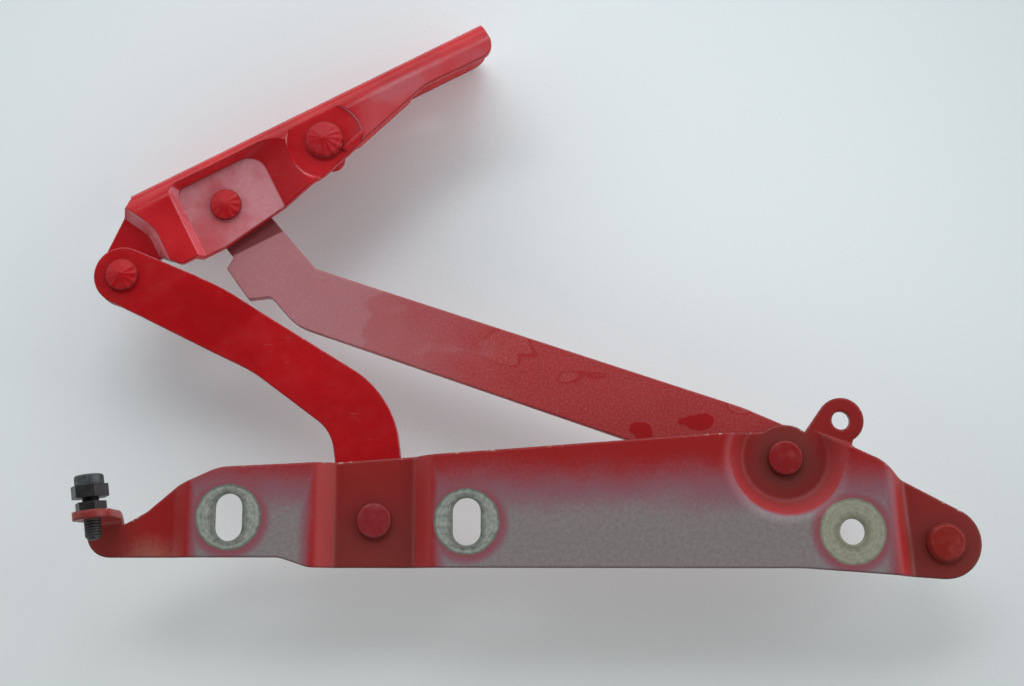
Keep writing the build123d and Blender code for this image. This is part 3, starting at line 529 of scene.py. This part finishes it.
def wet_runs(tree, place, towards_base, across):
    """Share of wet runs, which dried with a darker line along their rim, clear of the neck."""
    x = add_node(tree, "SeparateXYZ", {}, {0: place}, "X")
    run = clouds(tree, place, 34.0, detail=3.0, stretch=(0.5, 1.0, 1.0))
    run = add_node(tree, "Math", SCALE_AND_ADD, {0: towards_base, 1: 0.4, 2: run})
    wet = {OF: run, FROM: run_bank[0], TO: run_bank[1], MOST: 0.3}
    wet = add_node(tree, "MapRange", EASED, wet)
    off_rim = add_node(tree, "Math", SUBTRACT, {0: run, 1: rim_middle})
    off_rim = add_node(tree, "Math", ABSOLUTE, {0: off_rim})
    rim_line = add_node(tree, "MapRange", EASED, {OF: off_rim, FROM: 0.012, TO: 0.002, MOST: 0.75})
    lined = {OF: x, FROM: rim_line_begins, TO: rim_line_begins + 25 * MM}
    lined = add_node(tree, "MapRange", EASED, lined)
    rim_line = add_node(tree, "Math", MULTIPLY, {0: rim_line, 1: lined})
    wet = add_node(tree, "Math", LARGER, {0: wet, 1: rim_line})
    off_neck_shade = {OF: across, FROM: neck_shade_begins, TO: neck_shade_begins - 8 * MM}
    off_neck_shade = add_node(tree, "MapRange", EASED, off_neck_shade)
    return add_node(tree, "Math", MULTIPLY, {0: wet, 1: off_neck_shade})


def dry_spray():
    """Thin dry red spray with a dusty bloom, faint wet runs and two bright dried drops. Its
    grain is drawn several times coarser than real. The neck, which the bracket's web
    overhangs, is darkened with painted shade of the web."""
    material, tree, shader, place = new_material("dry_sprayed_red_paint")
    rounded, edge = soft_edges(tree, radius_mm=1.0)
    x = add_node(tree, "SeparateXYZ", {}, {0: place}, "X")
    across = add_node(tree, "VectorMath", ALONG, {0: place, 1: across_bracket}, "Value")
    drift = clouds(tree, place, 20.0, detail=4.0)
    grain = clouds(tree, place, dry_grain_mm, detail=5.0, roughness=0.7)
    splash = clouds(tree, place, 9.0, detail=2.0)
    press_waves = clouds(tree, place, 20.0, detail=1.0)
    # Paler towards the lid end: drier spray, together with a painted reflection of the window where the
    # end tilts
    towards_base = {OF: x, FROM: redder_from, TO: reddest_at, LEAST: -0.3, MOST: 0.4}
    towards_base = add_node(tree, "MapRange", EASED, towards_base)
    redness = add_node(tree, "Math", SCALE_AND_ADD, {0: drift, 1: 0.5, 2: towards_base})
    colour = coats(
        tree, srgb(pale_dry_spray_and_reflection_hex),
        (redness, -0.05, 0.65, 1.0, dry_red_hex),
        (grain, 0.4, 0.75, 0.3, dry_bloom_hex),
        # Painted shade on the neck, under the bracket's web
        (across, neck_shade_begins, neck_shade_begins + neck_shade_bank, 0.85, painted_neck_shade_hex),
    )
    wet = wet_runs(tree, place, towards_base, across)
    layer = {SHARE: wet, UNDER: colour, OVER: srgb(wet_red_hex)}
    colour = add_node(tree, "Mix", COLOURS, layer, LAYERED)
    for drop_x, drop_y in drops:
        reach = reach_from(tree, place, (drop_x, drop_y, 0.0), drop_stretch)
        reach = add_node(tree, "Math", ADD, {0: reach, 1: wander(tree, splash, 9 * MM)})
        drop = {OF: reach, FROM: drop_rim, TO: drop_rim - drop_bank}
        drop = add_node(tree, "MapRange", EASED, drop)
        wet = add_node(tree, "Math", LARGER, {0: wet, 1: drop})
        colour = coats(tree, colour, (reach, drop_rim, drop_rim - drop_bank, 0.85, drop_hex))

    # Painted shade along the edges that face away from the window, painted highlight and chips along
    # those that face it
    colour = edge_shade_highlight_and_chips(tree, place, colour, rounded, edge, dark_chip_hex, 0.9, 0.3)
    smoother = {OF: wet, FROM: 0.0, TO: 1.0, LEAST: 0.44, MOST: 0.28}
    fill(tree, shader, {
        "Base Color": colour,
        "Roughness": add_node(tree, "MapRange", EASED, smoother),
        "Specular IOR Level": 0.35,
        "Normal": relief(tree, rounded, (grain, 0.03), (press_waves, 0.4), (wet, 0.06)),
    })
    return material


dress("long_arm", dry_spray())


# Pivot rivets, strut studs and thrust washers
# Cold-headed steel, painted over with the hinge. The tool that formed the heads left flats that
# run out from the middle like the points of a star, deepest on the side away from the window,
# and a ring of painted shade darkens the rim of each head, in the corner around it. The washers
# are stamped rings in the arms' paint.
head_dust_hex = "#a46465"
painted_head_rim_shade_hex = "#54191a"
away_from_window = (0.8, -0.6, 0.0)
rim_shade_width = 0.8 * MM
uneven_flats = 2.4


def headed_rivet(name, centre, red_hex, flats, flat_depth_mm, radius):
    """Painted rivet head with radial flats and painted shade round its rim."""
    material, tree, shader, place = new_material(name)
    rounded = soft_edges(tree, radius_mm=0.4)[0]
    offset = add_node(tree, "VectorMath", SUBTRACT, {0: place, 1: centre})
    from_axis = reach_from(tree, place, centre)
    grime = clouds(tree, place, 3.0, detail=5.0)
    peel = clouds(tree, place, 1.1)

    # The flats are a wave around the axis, uneven in width, that deepens towards the rim
    across, along = (add_node(tree, "SeparateXYZ", {}, {0: offset}, axis) for axis in "XY")
    angle = add_node(tree, "Math", {"operation": "ARCTAN2"}, {0: along, 1: across})
    uneven = add_node(tree, "Math", MULTIPLY, {0: clouds(tree, offset, 5.0, detail=1.0), 1: uneven_flats})
    turn = add_node(tree, "Math", SCALE_AND_ADD, {0: angle, 1: float(flats), 2: uneven})
    star = add_node(tree, "Math", SINE, {0: turn})
    star = add_node(tree, "Math", MULTIPLY, {0: star, 1: from_axis})
    away = add_node(tree, "VectorMath", ALONG, {0: offset, 1: away_from_window}, "Value")
    pressed = {OF: away, FROM: -2 * MM, TO: 2 * MM, LEAST: 0.25, MOST: 1.0}
    pressed = add_node(tree, "MapRange", EASED, pressed)
    star = add_node(tree, "Math", MULTIPLY, {0: star, 1: pressed})

    colour = coats(
        tree, srgb(red_hex),
        (grime, 0.45, 0.75, 0.15, head_dust_hex),
        # Painted shade in the corner at the head's rim
        (from_axis, radius - rim_shade_width, radius, 0.6, painted_head_rim_shade_hex),
    )
    duller = {OF: grime, FROM: 0.3, TO: 0.8, LEAST: 0.25, MOST: 0.5}
    fill(tree, shader, {
        "Base Color": colour,
        "Roughness": add_node(tree, "MapRange", EASED, duller),
        "Specular IOR Level": 0.12,
        "Coat Weight": 0.05,
        "Coat Roughness": 0.15,
        "Normal": relief(tree, rounded, (peel, 0.04), (star, flat_depth_mm / radius)),
    })
    return material


# Each head's red, how many flats it has, their depth in millimetres, and its radius
for rivet, red_hex, flats, flat_depth_mm, radius in (
    ("curved_arm_lid_rivet", "#a8161c", 11, 0.16, 6.1 * MM),
    ("long_arm_lid_rivet", "#ab1a20", 11, 0.20, 6.1 * MM),
    ("long_arm_lid_rivet_tail", "#8c2a2c", 9, 0.03, 6.2 * MM),
    ("curved_arm_base_rivet", "#7f262b", 8, 0.02, 6.6 * MM),
    ("long_arm_base_rivet", "#822022", 8, 0.02, 6.6 * MM),
    ("lid_strut_stud", "#ab1e24", 13, 0.2, 7.4 * MM),
    ("base_strut_stud", "#80251f", 8, 0.02, 7.4 * MM),
):
    finish = "painted_head_of_" + rivet
    dress(rivet, headed_rivet(finish, middle(rivet), red_hex, flats, flat_depth_mm, radius))
for washer in ("curved_arm_base_washer", "long_arm_base_washer", "long_arm_lid_washer"):
    dress(washer, arm_paint)


# Bushes
# Sintered bronze, plain and a little oily, pressed into the eyes of the arms. Only the edges of
# their flanges show.
bronze_dark_hex = "#5c4a2c"
bronze_hex = "#9a8250"
pore_mm = 0.4


def sintered_bronze():
    """Grainy oiled bronze. Its pores are drawn several times coarser than real."""
    material, tree, shader, place = new_material("sintered_bronze")
    pores = clouds(tree, place, pore_mm)
    surface = add_node(tree, "NewGeometry", {}, {}, "Normal")
    duller = {OF: pores, FROM: 0.3, TO: 0.7, LEAST: 0.35, MOST: 0.55}
    fill(tree, shader, {
        "Base Color": coats(tree, srgb(bronze_dark_hex), (pores, 0.35, 0.65, 1.0, bronze_hex)),
        "Metallic": 1.0,
        "Roughness": add_node(tree, "MapRange", EASED, duller),
        "Normal": relief(tree, surface, (pores, 0.03)),
    })
    return material


bronze = sintered_bronze()
for bush in ("curved_arm_base_bush", "long_arm_base_bush", "curved_arm_lid_bush", "long_arm_lid_bush"):
    dress(bush, bronze)


# Stop screw, lock nut and buffer
# A black phosphated screw with a rubber cap, set by a thin lock nut. The rubber has greyed a
# little with dust; the steel is dull, with dust on its corners.
screw_axis = middle("stop_lock_nut")
screw_direction = mount_place("lid_stop_face") - screw_axis
screw_direction.normalize()
thread_pitch = 1.0 * MM
thread_radius = 3.1 * MM
thread_depth_mm = 0.2


def black_finish(name, black_hex, dust_hex, rough, grain_mm, dust_share):
    """Dull black surface with settled dust, and an M6 thread near the screw's axis. The grain
    of the moulding or of the phosphate is drawn several times coarser than real."""
    material, tree, shader, place = new_material(name)
    rounded, edge = soft_edges(tree, radius_mm=0.3)
    grain = clouds(tree, place, grain_mm)
    dust = clouds(tree, place, 2.5, detail=5.0)
    upright = add_node(tree, "SeparateXYZ", {}, {0: rounded}, "Z")
    lies_up = {OF: upright, FROM: 0.0, TO: 1.0, LEAST: 0.35, MOST: 1.0}
    lies_up = add_node(tree, "MapRange", EASED, lies_up)
    settled = add_node(tree, "MapRange", EASED, {OF: dust, FROM: 0.4, TO: 0.7, MOST: dust_share})
    colour = srgb(black_hex)
    for where, share in ((settled, lies_up), (edge, 0.3)):
        cover = add_node(tree, "Math", MULTIPLY, {0: where, 1: share})
        layer = {SHARE: cover, UNDER: colour, OVER: srgb(dust_hex)}
        colour = add_node(tree, "Mix", COLOURS, layer, LAYERED)

    offset = add_node(tree, "VectorMath", SUBTRACT, {0: place, 1: screw_axis})
    along = add_node(tree, "VectorMath", ALONG, {0: offset, 1: screw_direction}, "Value")
    sideways = {0: offset, 1: screw_direction}
    sideways = add_node(tree, "VectorMath", {"operation": "CROSS_PRODUCT"}, sideways)
    from_axis = add_node(tree, "VectorMath", LENGTH, {0: sideways}, "Value")
    thread = add_node(tree, "Math", MULTIPLY, {0: along, 1: 2 * math.pi / thread_pitch})
    thread = add_node(tree, "Math", SINE, {0: thread})
    on_shank = {OF: from_axis, FROM: 1.1 * thread_radius, TO: thread_radius}
    on_shank = add_node(tree, "MapRange", EASED, on_shank)
    thread = add_node(tree, "Math", MULTIPLY, {0: thread, 1: on_shank})
    fill(tree, shader, {
        "Base Color": colour,
        "Roughness": add_node(tree, "Math", ADD, {0: wander(tree, dust, 0.3), 1: rough}),
        "Normal": relief(tree, rounded, (grain, 0.04), (thread, thread_depth_mm)),
    })
    return material


rubber = black_finish("black_moulded_rubber", "#26282a", "#6c6f70", 0.55, 0.6, 0.35)
phosphate = black_finish("black_phosphated_steel", "#1b191a", "#413c3b", 0.4, 0.4, 0.25)
dress("stop_buffer", rubber)
dress("stop_screw", phosphate)
dress("stop_lock_nut", phosphate)


# Floor
# A plain pale sheet of cloth-backed paper under the hinge. Its colour carries a painted pool of
# light, brightest around the hinge and towards the lid bracket, dimmer far away. Its weave is
# drawn about twice as coarse as real.
sheet_painted_light_hex = "#eef3f3"
sheet_painted_dim_hex = "#e2e3df"
sheet_painted_falloff_hex = "#aab1b1"
sheet_reach = 3.0
sheet_gap = 0.3 * MM
weave_mm = 1.5
light_pool_middle = (-0.15, 0.08, 0.0)


def add_floor():
    """Large flat sheet just under the lowest point of the hinge."""
    level = cad_box[0].z - sheet_gap
    signs = ((-1, -1), (1, -1), (1, 1), (-1, 1))
    mesh = bpy.data.meshes.new("floor")
    mesh.from_pydata([(i * sheet_reach, j * sheet_reach, level) for i, j in signs], [], [(0, 1, 2, 3)])
    floor = bpy.data.objects.new("floor", mesh)
    scene.collection.objects.link(floor)
    material, tree, shader, place = new_material("pale_sheet")
    y = add_node(tree, "SeparateXYZ", {}, {0: place}, "Y")
    from_light_pool = reach_from(tree, place, light_pool_middle)
    surface = add_node(tree, "NewGeometry", {}, {}, "Normal")
    weave = clouds(tree, place, weave_mm, detail=2.0)
    # Painted light: brighter towards the lid bracket and round the hinge, dimmer far from it
    colour = coats(
        tree, srgb(sheet_painted_dim_hex),
        (y, -160 * MM, 140 * MM, 1.0, sheet_painted_light_hex),
        (from_light_pool, 0.05, 0.6, 0.9, sheet_painted_falloff_hex),
    )
    fill(tree, shader, {
        "Base Color": colour,
        "Roughness": 0.9,
        "Specular IOR Level": 0.2,
        "Normal": relief(tree, surface, (weave, 0.05)),
    })
    mesh.materials.append(material)


add_floor()


# Light
# A window beyond the lid bracket, a smaller one to the right, and a pale room whose walls are
# much brighter than its ceiling, so that the flats look deep in colour and the bends shine.
def add_lamp(name, place, target, size, radiance, colour_hex):
    """Rectangular lamp that faces a target; radiance 1 looks white."""
    lamp = bpy.data.lights.new(name, "AREA")
    lamp.shape = "RECTANGLE"
    lamp.size, lamp.size_y = size
    lamp.energy = radiance * math.pi * size[0] * size[1]
    lamp.color = srgb(colour_hex)[:3]
    holder = bpy.data.objects.new(name, lamp)
    scene.collection.objects.link(holder)
    holder.location = place
    holder.rotation_euler = (Vector(target) - Vector(place)).to_track_quat("-Z", "Y").to_euler()


hinge_middle = (cad_box[0] + cad_box[1]) / 2
add_lamp(
    "window", place=(-0.35, 1.15, 1.35), target=hinge_middle,
    size=(1.3, 0.4), radiance=4.6, colour_hex="#f6fbff",
)
add_lamp(
    "side_window", place=(1.15, 0.35, 0.75), target=hinge_middle,
    size=(0.4, 0.4), radiance=2.5, colour_hex="#f4f8ff",
)

# The room gives its ceiling's light straight down, its walls' light from the side, and leans
# towards the window
room_hex = "#eef2f5"
ceiling_light = 0.05
wall_light = 2.5
ceiling_ends = 0.85
walls_begin = 0.35
brighter_side = (0.22, 0.42, 0.0)
evenness = 0.85
world = bpy.data.worlds.new("room")
world.use_nodes = True
room = world.node_tree
towards = add_node(room, "TexCoord", {}, {}, "Generated")
height_seen = add_node(room, "SeparateXYZ", {}, {0: towards}, "Z")
walls = {OF: height_seen, FROM: ceiling_ends, TO: walls_begin, LEAST: ceiling_light, MOST: wall_light}
strength = add_node(room, "MapRange", EASED, walls)
lean = add_node(room, "VectorMath", ALONG, {0: towards, 1: brighter_side}, "Value")
lean = add_node(room, "Math", ADD, {0: lean, 1: evenness})
strength = add_node(room, "Math", MULTIPLY, {0: strength, 1: lean})
fill(room, room.nodes["Background"], {"Color": srgb(room_hex), "Strength": strength})
scene.world = world


# Camera
# The view is almost straight down on the bolted face, from 0.54 m, tipped a little towards the
# lid bracket.
camera_place = (-0.1191, -0.0248, 0.5394)
camera_tip = math.radians(10.05)
camera_lean = math.radians(0.70)
sensor_mm = 36.0
lens_mm = 50.98
camera_data = bpy.data.cameras.new("camera")
camera_data.sensor_width = sensor_mm
camera_data.lens = lens_mm
camera_data.clip_start = 0.01
camera = bpy.data.objects.new("camera", camera_data)
camera.location = camera_place
camera.rotation_euler = (camera_tip, camera_lean, 0.0)
scene.collection.objects.link(camera)
scene.camera = camera
scene.view_settings.view_transform = "Standard"
